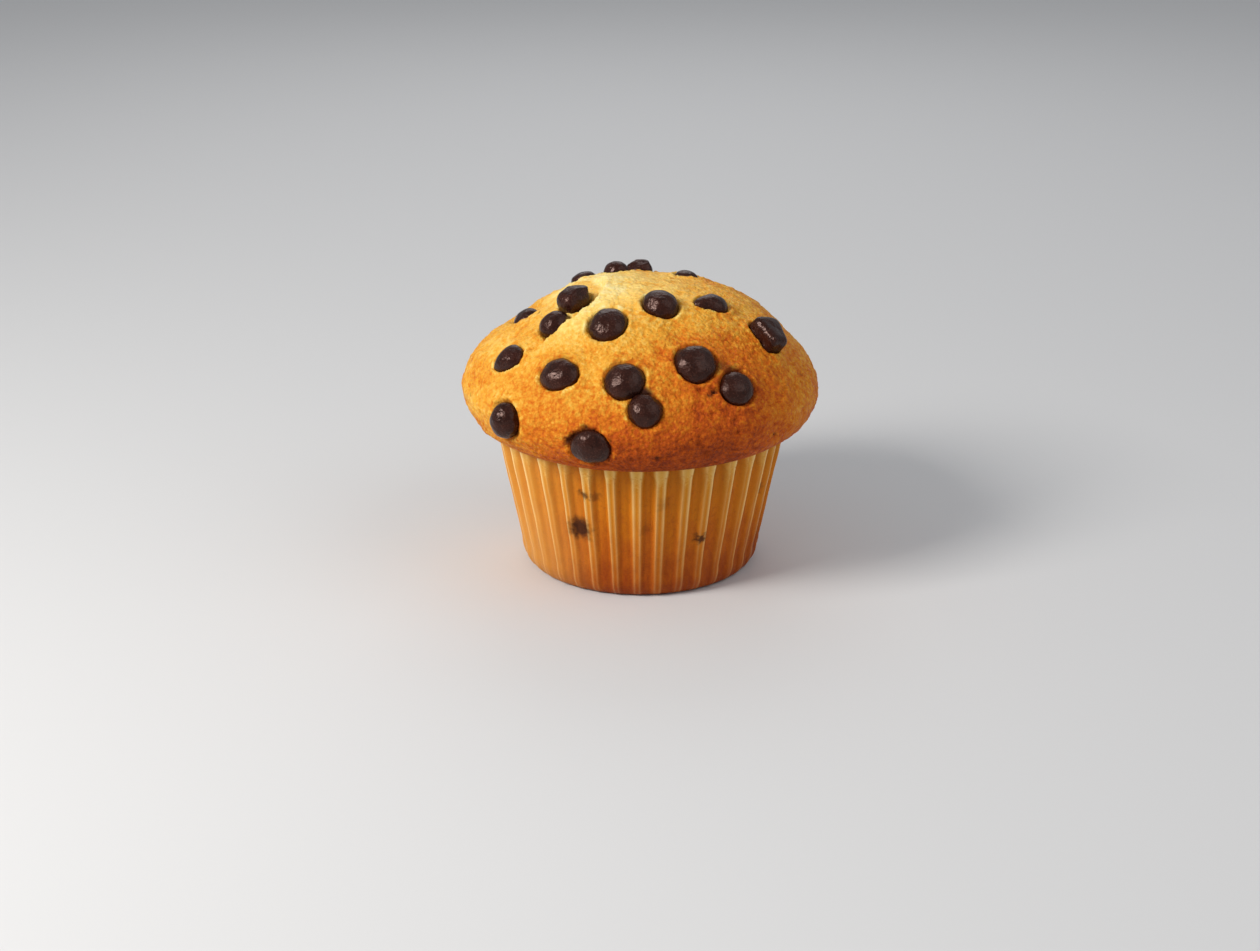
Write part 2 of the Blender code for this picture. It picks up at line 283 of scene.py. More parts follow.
class Value:
    """A shader socket that adds Math nodes when Python works with it."""

    def __init__(self, finish, socket):
        self.finish = finish
        self.socket = socket

    def math(self, operation, *others):
        sockets = {place: other for place, other in enumerate((self,) + others)}
        return self.finish.node("ShaderNodeMath", {"operation": operation}, sockets)

    def reflected(self, operation, other):
        return self.finish.node("ShaderNodeMath", {"operation": operation}, {0: other, 1: self})

    def __add__(self, other):
        return self.math("ADD", other)

    def __sub__(self, other):
        return self.math("SUBTRACT", other)

    def __rsub__(self, other):
        return self.reflected("SUBTRACT", other)

    def __mul__(self, other):
        return self.math("MULTIPLY", other)


class Finish:
    """One material, built up node by node."""

    def __init__(self, name):
        self.material = bpy.data.materials.new(name)
        self.material.use_nodes = True
        self.tree = self.material.node_tree
        self.shader = self.tree.nodes["Principled BSDF"]

    def put(self, socket, value):
        if isinstance(value, Value):
            self.tree.links.new(value.socket, socket)
        else:
            socket.default_value = value

    def node(self, kind, settings=None, sockets=None, out=0):
        """Adds a node: its settings first, then the values or links of its sockets."""
        made = self.tree.nodes.new(kind)
        for key, value in (settings or {}).items():
            if key == "stops":
                self.set_stops(made.color_ramp, value)
            else:
                setattr(made, key, value)
        for key, value in (sockets or {}).items():
            self.put(made.inputs[key], value)
        return Value(self, made.outputs[out])

    def set_stops(self, ramp, stops):
        while len(ramp.elements) < len(stops):
            ramp.elements.new(0.5)
        for element, (place, colour) in zip(ramp.elements, stops):
            element.position = place
            element.color = colour

    def place(self):
        """Object coordinates, in metres."""
        return self.node("ShaderNodeTexCoord", out="Object")

    def stretched(self, where, upright):
        """Coordinates in which a pattern is drawn out upright, or flattened if the number is over 1."""
        return self.node("ShaderNodeMapping", None, {"Vector": where, "Scale": (1.0, 1.0, upright)})

    def noise(self, size, where, detail=3.0, rough=0.55):
        sockets = {"Vector": where, "Scale": 1.0 / size, "Detail": detail, "Roughness": rough}
        return self.node("ShaderNodeTexNoise", None, sockets)

    def cells(self, size, where, feature="F1", out="Distance"):
        sockets = {"Vector": where, "Scale": 1.0 / size}
        return self.node("ShaderNodeTexVoronoi", {"feature": feature}, sockets, out)

    def painted(self, name):
        """The numbers that paint() kept on the mesh."""
        return self.node("ShaderNodeAttribute", {"attribute_name": name}, out="Fac")

    def between(self, value, low, high, new_low=0.0, new_high=1.0):
        """Goes smoothly from one new value to the other while the value goes from low to high."""
        sockets = {"Value": value, "From Min": low, "From Max": high}
        sockets.update({"To Min": new_low, "To Max": new_high})
        return self.node("ShaderNodeMapRange", {"interpolation_type": "SMOOTHSTEP"}, sockets)

    def ramp(self, factor, stops):
        return self.node("ShaderNodeValToRGB", {"stops": stops}, {"Fac": factor}, out="Color")

    def mix(self, factor, first, second, blend="MIX"):
        settings = {"data_type": "RGBA", "blend_type": blend}
        return self.node("ShaderNodeMix", settings, {0: factor, 6: first, 7: second}, out=2)

    def bump(self, height, distance, strength=1.0):
        sockets = {"Height": height, "Distance": distance, "Strength": strength}
        return self.node("ShaderNodeBump", None, sockets)

    def finished(self, **sockets):
        """Sets the surface's sockets, named with spaces as underscores."""
        for key, value in sockets.items():
            self.put(self.shader.inputs[key.replace("_", " ")], value)
        return self.material


def colour(red, green, blue):
    """A colour given as 0 to 255 on screen, as the shaders want it."""
    parts = [channel / 255 for channel in (red, green, blue)]
    linear = [part / 12.92 if part <= 0.04045 else ((part + 0.055) / 1.055) ** 2.4 for part in parts]
    return (*linear, 1.0)


# ---- finishes ----


def crust_finish():
    """Baked cake: pale where dough broke out last, golden, then red brown at the lip."""
    finish = Finish("golden_crust")
    where = finish.place()
    baked = finish.painted("baked")
    patches = finish.noise(4.0 * MM, where, 3.0) - 0.5
    mottle = finish.noise(1.2 * MM, where, 4.0, 0.65) - 0.5
    speck = finish.noise(0.45 * MM, where, 3.0, 0.65) - 0.5
    grit = finish.cells(0.62 * MM, where, out="Color") - 0.5
    spread = finish.between(baked, 0.2, 0.55, 0.55, 1.0)
    uneven = (patches * 0.34 + mottle * 0.36 + speck * 0.44 + grit * 0.16) * spread
    grains = finish.cells(0.70 * MM, where, "SMOOTH_F1")
    # Painted shade: the crust is painted darker between its grains, where the bump sinks.
    shade_between_grains = finish.between(grains, 0.30, 0.75, -0.02, 0.08) * spread
    # Painted shade: the crust is painted darker in its pits and along its creases.
    shade = baked + uneven + shade_between_grains + finish.painted("pit") * 0.07 + finish.painted("crease") * 0.10
    crust = finish.ramp(shade, [
        (0.00, colour(250, 232, 166)),
        (0.18, colour(248, 208, 112)),
        (0.38, colour(235, 168, 54)),
        (0.56, colour(220, 123, 22)),
        (0.76, colour(194, 84, 10)),
        (1.00, colour(138, 50, 6)),
    ])
    # Dark chocolate colour: real chocolate in the smears and melted round the chips, painted shade in the
    # holes and in the gap round each chip.
    stained_and_shaded = finish.mix(finish.painted("stain"), crust, colour(58, 26, 14))
    relief = (1 - grains) * 0.5 + finish.noise(0.60 * MM, where, 4.0, 0.70) * 0.5
    return finish.finished(
        Base_Color=stained_and_shaded,
        Roughness=finish.between(speck, -0.25, 0.25, 0.66, 0.40),
        Specular_IOR_Level=0.14,
        Normal=finish.bump(relief * spread, 0.85 * MM),
        Subsurface_Weight=0.08,
        Subsurface_Radius=(1.0, 0.45, 0.12),
        Subsurface_Scale=1.4 * MM,
    )


def chocolate_finish():
    """Dark chocolate that melted and set again: satin, with a fine bloom and small dents."""
    finish = Finish("dark_chocolate")
    where = finish.place()
    cloud = finish.noise(2.4 * MM, where, 4.0, 0.6)
    speck = finish.noise(0.35 * MM, where, 3.0, 0.7)
    base = finish.ramp(cloud, [
        (0.30, colour(30, 12, 8)),
        (0.70, colour(50, 21, 14)),
    ])
    bloomed = finish.mix(finish.between(speck, 0.50, 0.72, 0.0, 0.45), base, colour(88, 50, 38))
    dents = finish.noise(1.5 * MM, where, 2.0)
    relief = speck * 0.16 + dents * 0.84
    return finish.finished(
        Base_Color=bloomed,
        Roughness=finish.between(cloud * 0.5 + speck * 0.5, 0.35, 0.65, 0.15, 0.30),
        Specular_IOR_Level=0.36,
        Specular_Tint=(1.0, 0.68, 0.60, 1.0),
        Normal=finish.bump(relief, 0.34 * MM),
    )


def shadows_of_chips(finish, where):
    """How dark the chips behind the paper make it. Noise moves the coordinates, so spots are ragged."""
    drift = 2.6 * MM
    sockets = {"Vector": where, "Scale": 1.0 / (1.1 * MM)}
    wobble = finish.node("ShaderNodeTexNoise", None, sockets, "Color")
    shifted = finish.node("ShaderNodeVectorMath", {"operation": "MULTIPLY_ADD"},
                          {0: wobble, 1: (drift,) * 3, 2: where})
    dark = None
    for azimuth, rise, width, strength in SHADOWED_CHIPS:
        spot = wall_point(azimuth, rise * MM) + Vector((drift / 2,) * 3)
        sockets = {0: shifted, 1: spot}
        away = finish.node("ShaderNodeVectorMath", {"operation": "DISTANCE"}, sockets, "Value")
        seen = finish.between(away, width * 0.22 * MM, width * 0.72 * MM, strength, 0.0)
        dark = seen if dark is None else dark.math("MAXIMUM", seen)
    return dark


def paper_finish():
    """Greaseproof paper soaked with butter: brown where it clings to the cake, pale on its folds, with a
    painted highlight on its crests, painted light on its left side, and painted shade in part of its
    darkening low down and under the lip.
    """
    finish = Finish("greaseproof_paper")
    where = finish.place()
    fold = finish.painted("fold")
    crest = finish.painted("crest")
    height = finish.painted("height")
    streak = finish.noise(1.1 * MM, finish.stretched(where, 0.16)) - 0.5
    blotch = finish.noise(3.2 * MM, finish.stretched(where, 0.6)) - 0.5
    crumbs = finish.noise(0.8 * MM, where, rough=0.6) - 0.5
    fibre = finish.noise(0.45 * MM, finish.stretched(where, 2.2), rough=0.65) - 0.5
    # Darker towards the bottom: partly paper browned there, partly painted shade. The clinging paper is a
    # little darker again right under the lip, as painted shade.
    clinging = finish.ramp(height + blotch * 0.7 + streak * 0.4 + fibre * 0.5, [
        (0.00, colour(146, 60, 6)),
        (0.35, colour(182, 90, 8)),
        (0.70, colour(202, 114, 10)),
        (1.00, colour(192, 112, 14)),
    ])
    standing = finish.ramp(height + blotch * 0.45 + fibre * 0.35, [
        (0.00, colour(162, 72, 10)),
        (0.45, colour(206, 120, 18)),
        (0.88, colour(214, 138, 28)),
        (1.00, colour(236, 182, 84)),
    ])
    clinging = finish.mix(finish.between(crumbs, 0.0, 0.25, 0.0, 0.3), clinging, colour(140, 66, 14))
    paper = finish.mix(finish.between(fold + streak * 0.2, 0.0, 1.0), clinging, standing)
    # Painted light: the paper is painted paler on its lit left side, most of all low down.
    paper = finish.mix(finish.painted("paler"), paper, colour(246, 180, 88))
    # The pale line on each crest: partly the dry paper's own colour, partly painted highlight, clearer
    # higher up.
    clearer_above = finish.between(height + blotch * 0.3, 0.0, 0.9, 0.20, 0.88)
    line = finish.between(crest, 0.0, 1.0) * clearer_above
    paper = finish.mix(line, paper, colour(255, 224, 156))
    shadowed = finish.mix(shadows_of_chips(finish, where), paper, colour(62, 28, 12))
    relief = fibre * 0.5 + finish.noise(1.6 * MM, where) * 0.65
    return finish.finished(
        Base_Color=shadowed,
        Roughness=finish.between(streak, -0.3, 0.3, 0.36, 0.55),
        Specular_IOR_Level=0.13,
        Normal=finish.bump(relief, 0.25 * MM, 0.5),
        Subsurface_Weight=0.06,
        Subsurface_Radius=(1.0, 0.5, 0.2),
        Subsurface_Scale=1.0 * MM,
    )


# ---- the cake's shape ----


def cap_profile(lift):
    """Radius and height of the evenly risen cap: lift 90 is its top, 0 its widest, -90 under its lip."""
    angle = np.radians(lift)
    side, up = np.maximum(np.cos(angle), 0.0), np.sin(angle)
    rise = (CAP_TOP - CAP_WIDEST) * (DOME_ROUNDNESS * up + (1 - DOME_ROUNDNESS) * up * up)
    under_lip = CAP_RADIUS - LIP_DEPTH + LIP_DEPTH * side
    radius = np.where(lift >= 0, CAP_RADIUS * side**DOME_FULLNESS, under_lip)
    return radius, CAP_WIDEST + np.where(lift >= 0, rise, LIP_DROP * up)


def outline_of_cap(steps=600):
    """The cap's outline from its top to its neck, with the share of its length at each point."""
    radius, height = cap_profile(np.linspace(90.0, -90.0, steps))
    radius = np.append(radius, NECK_RADIUS)
    height = np.append(height, NECK_HEIGHT)
    length = np.concatenate([[0.0], np.cumsum(np.hypot(np.diff(radius), np.diff(height)))])
    return radius, height, length / length[-1]


def scarp_edges(points):
    """For each crack: how far past its lobe's ragged edge each point is, how much the crack shows there
    (0 to 1), and the crack's sizes."""
    ragged = grain(points, 2.6 * MM, 11.0) * 0.45 * MM + grain(points, 0.9 * MM, 12.0) * 0.12 * MM
    for centre, radius, start, end, *sizes in SCARPS:
        across = points[:, 0] - centre[0]
        along = points[:, 1] - centre[1]
        past = np.hypot(across, along) - radius + ragged
        turn = np.degrees(np.arctan2(along, across))
        first = step(start + FADE_IN[0], start + FADE_IN[1], turn)
        last = step(end + FADE_OUT[0], end + FADE_OUT[1], turn)
        yield past, first * last, sizes


def scarp_height(points):
    """How far the crust stands up or sinks beside each crack."""
    height = np.zeros(len(points))
    for past, shown, (rise, sink, reach, width) in scarp_edges(points):
        stands = step(-width, width, past)
        near = np.exp(-np.abs(past) / reach)
        height += shown * near * (stands * rise - (1 - stands) * sink)
    return height


def standing(points):
    """1 where dough stands up beyond a crack, and so laps over the chips there, 0 elsewhere."""
    laps = np.zeros(len(points))
    for past, shown, _ in scarp_edges(points):
        beyond = step(-0.8 * MM, -0.1 * MM, past) * step(4.5 * MM, 3.0 * MM, past)
        laps = np.maximum(laps, shown * beyond)
    return laps


def swell_height(points):
    """How far the swellings and hollows push each point of the crust."""
    height = np.zeros(len(points))
    for azimuth, lift, width, swell in SWELLS:
        radius, level = cap_profile(lift)
        angle = math.radians(azimuth)
        centre = (radius * math.sin(angle), -radius * math.cos(angle), level)
        apart = np.linalg.norm(points - np.array(centre), axis=1)
        height += swell * bell(apart, width)
    return height


def risen(points):
    """The evenly risen cap's points, moved to where the uneven one has them."""
    azimuth = np.arctan2(points[:, 0], -points[:, 1])
    radius = np.hypot(points[:, 0], points[:, 1])
    in_cap = step(CAP_WIDEST - LIP_DROP, CAP_WIDEST - LIP_DROP / 2, points[:, 2])
    waves = sum(size * np.sin(count * azimuth + math.radians(phase))
                for count, size, phase in LIP_WAVES)
    scale = 1 + in_cap * waves / CAP_RADIUS
    above = step(CAP_WIDEST, CAP_WIDEST + LIP_DROP, points[:, 2])
    lean = TOP_LEAN * step(*LEAN_HEIGHTS, points[:, 2])
    moved = points * scale[:, None]
    moved[:, 2] = points[:, 2] + above * scarp_height(points)
    moved[:, 0] += lean
    outward = points - np.array(CAP_MIDDLE)
    outward /= np.linalg.norm(outward, axis=1, keepdims=True)
    return moved + outward * (swell_height(points) * in_cap)[:, None]


def wall_radius(height):
    """Radius of the case's straight wall at a height."""
    share = (height - HEEL_HEIGHT) / (RIM_HEIGHT - HEEL_HEIGHT)
    return HEEL_RADIUS + (RIM_RADIUS - HEEL_RADIUS) * share


def wall_point(azimuth, height):
    """A point of the case's wall, about the middle of its folds' depth."""
    angle = math.radians(azimuth)
    radius = wall_radius(height) - 0.5 * MM
    return Vector((radius * math.sin(angle), -radius * math.cos(angle), height))


# ---- chips ----


class Chip:
    """One chip: where it sits in the crust, its axes, and its half sizes."""

    def __init__(self, name, looks):
        width, length, thickness, turn, self.form, self.angular = looks
        self.name = name
        low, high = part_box(name)
        self.centre = (Vector(low) + Vector(high)) / 2
        self.normal = crust_normal(self.centre)
        self.normal.rotate(Matrix.Rotation(math.radians(CHIP_TILTS.get(name, 0.0)), 3, "Z"))
        azimuth = math.atan2(self.centre.x, -self.centre.y)
        side = Vector((math.cos(azimuth), math.sin(azimuth), 0.0))
        up = self.normal.cross(side).normalized()
        side = up.cross(self.normal).normalized()
        angle = math.radians(turn)
        self.across = side * math.cos(angle) + up * math.sin(angle)
        self.along = up * math.cos(angle) - side * math.sin(angle)
        self.half = Vector((width, length, thickness)) * 0.5 * MM


def crust_normal(centre):
    """The even cap's outward direction nearest a point."""
    lifts = np.linspace(-60.0, 89.0, 1200)
    radius, height = cap_profile(lifts)
    reach = math.hypot(centre[0], centre[1])
    nearest = int(np.argmin(np.hypot(radius - reach, height - centre[2])))
    nearest = min(max(nearest, 1), len(lifts) - 2)
    run = radius[nearest + 1] - radius[nearest - 1]
    climb = height[nearest + 1] - height[nearest - 1]
    outward = Vector((centre[0], centre[1], 0.0)).normalized()
    return (outward * climb + Vector((0.0, 0.0, -run))).normalized()


# How square each form is that isn't round, and a block's socket in the crust.
SQUARENESS = {"block": 6.0, "chunk": 3.0}
BLOCK_SOCKET = 3.6
# How much narrower a chip's far end is, or its near end where the number is negative, as a share of its
# width, and how far a leaf draws out to its tip.
TAPER = {"leaf": 0.34, "egg": 0.22, "block": -0.40, "round": 0.06, "chunk": 0.10}
LEAF_TIP = 0.14


def cut_flat(reach, directions, facing, away, blend):
    """Takes a flat off a chip: it reaches no further than a plane, with the edge worn over a blend."""
    edge_on, far_off = 0.05, 9.0
    towards = directions @ facing
    flat = np.where(towards > edge_on, away / np.maximum(towards, edge_on), far_off)
    share = np.clip(0.5 + 0.5 * (flat - reach) / blend, 0.0, 1.0)
    return flat * (1 - share) + reach * share - blend * share * (1 - share)


def chip_surface(directions, chip, chance):
    """How far a chip reaches in each direction, as shares of its half sizes."""
    reach = np.ones(len(directions))
    if chip.form in SQUARENESS:
        squareness = SQUARENESS[chip.form]
        reach = (np.abs(directions) ** squareness).sum(axis=1) ** (-1 / squareness)
    flats = 0 if chip.form == "block" else int(3 + 6 * chip.angular)
    for _ in range(flats):
        facing = np.array([chance.gauss(0, 1), chance.gauss(0, 1), chance.gauss(0, 0.8)])
        facing /= np.linalg.norm(facing)
        away = 1.0 - chance.uniform(0.0, 0.01 + 0.18 * chip.angular ** 1.5)
        reach = cut_flat(reach, directions, facing, away, 0.16 - 0.12 * chip.angular)
    if chip.form == "leaf":
        reach = reach * (1 + LEAF_TIP * np.maximum(directions[:, 1], 0.0) ** 6)
    wobble = np.array([noise.noise(Vector(way) * 1.7 + chip.centre * 900) for way in directions])
    dents = np.array([noise.noise(Vector(way) * 5.0 + chip.centre * 700) for way in directions])
    return reach * (1 + 0.045 * wobble + 0.010 * dents)


def slimmed(along, form):
    """How a chip narrows from one end of its length to the other."""
    share = step(-1.0, 1.0, along)
    taper = TAPER[form]
    return 1 - taper * share if taper > 0 else 1 + taper * (1 - share)


def make_chip(chip, finish, number):
    """The look of one chip, in place of its plain solid."""
    chance = random.Random(400 + number)
    piece = even_ball("choc_" + chip.name, 15)
    ways = points_of(piece.data)
    reach = chip_surface(ways, chip, chance)
    local = ways * reach[:, None] * np.array(chip.half)
    local[:, 0] *= slimmed(ways[:, 1], chip.form)
    axes = np.array([chip.across, chip.along, chip.normal])
    move_points(piece.data, local @ axes + np.array(chip.centre))
    smooth(piece)
    piece.data.materials.append(finish)
    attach(piece, "root")
    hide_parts(chip.name)


def chip_edges(points, chips):
    """How far past the nearest chip's edge each point of the crust lies, or 1 m if none is near."""
    near = 12 * MM
    nearest = np.full(len(points), 1.0)
    for chip in chips:
        apart = points - np.array(chip.centre)
        close = np.einsum("ij,ij->i", apart, apart) < near**2
        local = apart[close] @ np.array([chip.across, chip.along, chip.normal]).T
        half = np.array(chip.half)
        along = local[:, 1] / half[1]
        across = local[:, 0] / slimmed(np.clip(along, -1, 1), chip.form) / half[0]
        if chip.form == "block":
            share = (np.abs(across) ** BLOCK_SOCKET + np.abs(along) ** BLOCK_SOCKET) ** (1 / BLOCK_SOCKET)
        else:
            share = np.hypot(across, along)
        edge = (share - 0.97) * (half[0] + half[1]) / 2
        nearest[close] = np.minimum(nearest[close], edge)
    return nearest


# ---- the cake ----


# The cap is cut from a ball of even squares, down to this angle from its top.
CAP_CUTS = 139
CAP_SHARE = math.radians(122)

# Heights in mm of the crust beside a chip, and their reach: a groove at its edge, a collar that baked up
# past it, a broad shoulder, and the bed under it.
GROOVE, GROOVE_REACH = 0.75, 0.38 * MM
COLLAR, COLLAR_PLACE, COLLAR_REACH = 0.40, 0.85 * MM, 0.5 * MM
SHOULDER, SHOULDER_REACH = 0.24, 2.4 * MM
BED, BED_EDGE = 1.1, (0.2 * MM, -0.9 * MM)

# How far in and out the crust goes, in mm, and the heights between which it grows out of the plain neck.
RELIEF_LIMITS = (-1.6, 0.9)
OPEN_CRUST = (CAP_WIDEST - 8.4 * MM, CAP_WIDEST - 6 * MM)


def make_cake(chips, finish):
    """The look of the cake: the cap, its relief, its browning with painted light and shade, and the plain
    body in the case.
    """
    cake = even_ball("muffin_cake", CAP_CUTS)
    with editing(cake):
        bpy.ops.mesh.select_all(action="SELECT")
        cut = (0, 0, math.cos(CAP_SHARE))
        bpy.ops.mesh.bisect(plane_co=cut, plane_no=(0, 0, 1), clear_inner=True)
    shaped = risen(on_even_cap(points_of(cake.data)))
    move_points(cake.data, shaped)
    outward = normals_of(cake.data)

    edge = chip_edges(shaped, chips)
    laps = standing(shaped)
    patchy = grain(shaped, 1.3 * MM, 3.0)
    creases = crust_creases(shaped) * step(-8 * MM, 6 * MM, shaped[:, 2] - CAP_WIDEST)
    pits = pit_depth(shaped)
    dark, hollow = specks_and_smears(shaped)
    relief = crust_relief(shaped, patchy, pits, creases)
    relief = relief + beside_chips(edge, patchy) * (1 - laps) - hollow
    relief = np.clip(relief, *RELIEF_LIMITS) * step(*OPEN_CRUST, shaped[:, 2])
    move_points(cake.data, shaped + outward * relief[:, None] * MM)

    paint(cake.data, "baked", baking_and_light(shaped, edge, relief))
    # Painted shade in the pits.
    paint(cake.data, "pit", pits)
    # A dark rim round each chip: partly chocolate melted into the crust, partly painted shade in the gap
    # at its edge.
    rim_stain_and_shade = bell(np.maximum(edge, 0), 0.35 * MM) * step(-0.3, 0.5, patchy) * 0.6
    paint(cake.data, "stain", np.maximum(rim_stain_and_shade * (1 - laps), dark))
    # Painted shade along the creases.
    paint(cake.data, "crease", creases)
    extend_into_case(cake)
    smooth(cake)
    cake.data.materials.append(finish)
    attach(cake, "root")
    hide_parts("muffin_crumb")


def on_even_cap(ways):
    """Places on the evenly risen cap for directions in a ball, spread evenly down the cap's outline."""
    down = np.arctan2(np.hypot(ways[:, 0], ways[:, 1]), ways[:, 2]) / CAP_SHARE
    azimuth = np.arctan2(ways[:, 0], -ways[:, 1])
    radius_at, height_at, share_at = outline_of_cap()
    radius = np.interp(down, share_at, radius_at)
    height = np.interp(down, share_at, height_at)
    return np.stack([radius * np.sin(azimuth), -radius * np.cos(azimuth), height], axis=1)


def crust_relief(points, patchy, pits, creases):
    """How far the crust stands out, in mm: lumps, crumb, pits, creases, and wrinkles on the lip."""
    lumps = grain(points, 8.5 * MM, 1.0) * 0.34 + grain(points, 3.6 * MM, 2.0) * 0.24
    lumps += grain(points, 2.0 * MM, 4.0) * 0.13
    crumb = patchy * 0.10 + crumb_grains(points) * 0.16
    on_lip = 1 - step(CAP_WIDEST, CAP_WIDEST + 12 * MM, points[:, 2])
    return lumps + crumb - pits * 0.30 - creases * 0.16 + on_lip * lip_wrinkles(points) * 0.12


def beside_chips(edge, patchy):
    """How far the crust stands out beside the chips, in mm, and sinks under them."""
    uneven = 0.55 + 0.45 * np.clip(patchy * 1.6, -1, 1)
    groove = -GROOVE * bell(edge, GROOVE_REACH) * (0.45 + 0.55 * uneven)
    collar = COLLAR * bell(edge - COLLAR_PLACE, COLLAR_REACH) * uneven
    shoulder = SHOULDER * bell(np.maximum(edge, 0), SHOULDER_REACH)
    return groove + collar + shoulder - BED * step(*BED_EDGE, edge)


def crumb_grains(points):
    """Rounded grains of crumb, from -1 between them to 1 on top."""
    return np.clip(1 - 2.0 * cell_distance(points, 1.15 * MM, Vector((3.0, 8.0, 1.0))), -1.0, 1.0)


def crust_creases(points):
    """Short crooked creases between lumps of crust: 1 along a crease, 0 elsewhere."""
    bent = points + grain(points, 2.2 * MM, 31.0)[:, None] * 0.9 * MM
    close = bell(grain(bent, 3.4 * MM, 32.0), 0.075)
    return close * step(0.0, 0.35, grain(points, 5.5 * MM, 33.0) + 0.12)


def place_on_cap(azimuth, lift):
    """The point of the risen cap at an azimuth and a lift."""
    radius, height = cap_profile(lift)
    angle = math.radians(azimuth)
    return risen(np.array([[radius * math.sin(angle), -radius * math.cos(angle), height]]))[0]


# Specks and smears fade out at this share of the width they are given.
SPREAD = 0.6 * MM


def specks_and_smears(points):
    """How dark each point is, from smeared chocolate and from painted shade in its holes, and how deep
    its hole is, in mm.
    """
    dark = np.zeros(len(points))
    hollow = np.zeros(len(points))
    ragged = 1 + 0.5 * grain(points, 0.8 * MM, 41.0)
    for azimuth, lift, width, depth in SPECKS:
        apart = np.linalg.norm(points - place_on_cap(azimuth, lift), axis=1) * ragged
        here = bell(apart, width * SPREAD, 4)
        # Painted shade inside the hole.
        dark = np.maximum(dark, here * 0.9)
        hollow = np.maximum(hollow, here * depth)
    for azimuth, lift, next_azimuth, next_lift, width, strength in SMEARS:
        start = place_on_cap(azimuth, lift)
        run = place_on_cap(next_azimuth, next_lift) - start
        share = np.clip((points - start) @ run / (run @ run), 0, 1)
        apart = np.linalg.norm(points - (start + share[:, None] * run), axis=1) * ragged
        dark = np.maximum(dark, strength * bell(apart, width * SPREAD, 3))
    return dark, hollow


# A pit's half width, as a share of the cells that the pits are spaced by.
PIT_WIDTH = 0.20


def pit_depth(points):
    """Small open bubbles in the crust: 0 on the skin, 1 at the bottom of a pit."""
    depth = np.zeros(len(points))
    for size, seed in ((3.6 * MM, 5.0), (2.3 * MM, 6.0)):
        away = cell_distance(points, size, Vector((seed, seed * 2, seed * 3)))
        depth = np.maximum(depth, np.clip(1 - (away / PIT_WIDTH) ** 2, 0.0, 1.0))
    return depth


def lip_wrinkles(points):
    """Fine wrinkles that run round the lip, where the crust set last."""
    azimuth = np.arctan2(points[:, 0], -points[:, 1])
    spread = np.stack([azimuth * 7.5, points[:, 2] / (1.1 * MM), np.full(len(points), 4.2)], axis=1)
    return 1 - 2 * np.abs(grain(spread, 1.0, 8.0))


# How brown the crust is at each height in mm, and how much is added from its left (-1) to its right (1):
# browning, and painted light that makes the lit left and the far right edge paler.
BROWN_BY_HEIGHT = ((29, 0.83), (33, 0.76), (37, 0.67), (42, 0.55), (47, 0.45), (52, 0.37), (56, 0.28),
                   (60, 0.22))
BROWN_AND_LIGHT_ACROSS = ((-1, -0.10), (-0.6, -0.05), (0, 0.02), (0.4, 0.13), (0.7, 0.10), (1, -0.06))

# Browner and paler stretches low on the cap: how much is added, its azimuth and its width (radians).
LOW_STRETCHES = ((0.10, 0.1, 0.6), (-0.22, -1.1, 0.6), (-0.12, 0.95, 0.5))


def baking_and_light(points, edge, relief):
    """How brown the crust is, from 0 pale dough to 1 darkest, with some painted light and shade in it."""
    height = points[:, 2] / MM
    azimuth = np.arctan2(points[:, 0], -points[:, 1])
    across = np.clip(points[:, 0] / CAP_RADIUS, -1, 1)
    browned_and_lit = np.interp(height, *zip(*BROWN_BY_HEIGHT)) + np.interp(across, *zip(*BROWN_AND_LIGHT_ACROSS))
    browned_and_lit += grain(points, 13 * MM, 9.0) * 0.09 + grain(points, 5 * MM, 10.0) * 0.06
    for added, middle, width in LOW_STRETCHES:
        browned_and_lit += added * step(45, 36, height) * bell(azimuth - middle, width)
    # a browner cheek, front right, half way up
    browned_and_lit += 0.15 * bell(height - 50, 5.0) * bell(azimuth - 0.5, 0.42)
    # darker close to a chip, partly browning and partly painted shade; a painted highlight makes a pale
    # rim on the collar here and there
    browned_and_lit += 0.07 * bell(np.maximum(edge, 0), 1.6 * MM)
    in_places = step(-0.1, 0.4, grain(points, 1.6 * MM, 13.0))
    browned_and_lit -= 0.24 * bell(edge - 0.75 * MM, 0.35 * MM) * in_places
    # paler on the dough that broke out past the first crack; a little paler on what stands out and darker
    # in hollows, as painted light and shade
    past, _, _ = next(scarp_edges(points))
    fresh = bell(np.maximum(past, 0), 8 * MM) * (past > 0) * step(50, 56, height)
    return browned_and_lit - 0.16 * fresh - 0.04 * relief


def extend_into_case(cake):
    """Carries the cap's open edge down inside the case and closes it on the case's floor."""
    levels = ((HEEL_HEIGHT, HEEL_RADIUS - CAKE_GAP), (CAKE_FLOOR, BASE_RADIUS - CAKE_GAP),
              (CAKE_FLOOR, BASE_RADIUS * 0.5))
    with editing(cake):
        bpy.ops.mesh.select_mode(type="EDGE")
        bpy.ops.mesh.select_all(action="DESELECT")
        bpy.ops.mesh.select_non_manifold()
        height, radius = NECK_HEIGHT, NECK_RADIUS
        for level, wide in levels:
            drop = (0, 0, level - height)
            bpy.ops.mesh.extrude_region_move(TRANSFORM_OT_translate={"value": drop})
            grow = wide / radius
            bpy.ops.transform.resize(value=(grow, grow, 1.0), center_override=(0, 0, level))
            height, radius = level, wide
        bpy.ops.mesh.extrude_region_move(TRANSFORM_OT_translate={"value": (0, 0, 0)})
        bpy.ops.mesh.merge(type="CENTER")
        bpy.ops.mesh.select_all(action="SELECT")
        bpy.ops.mesh.remove_doubles(threshold=0.000002)
        bpy.ops.mesh.normals_make_consistent(inside=False)


# ---- the paper case ----


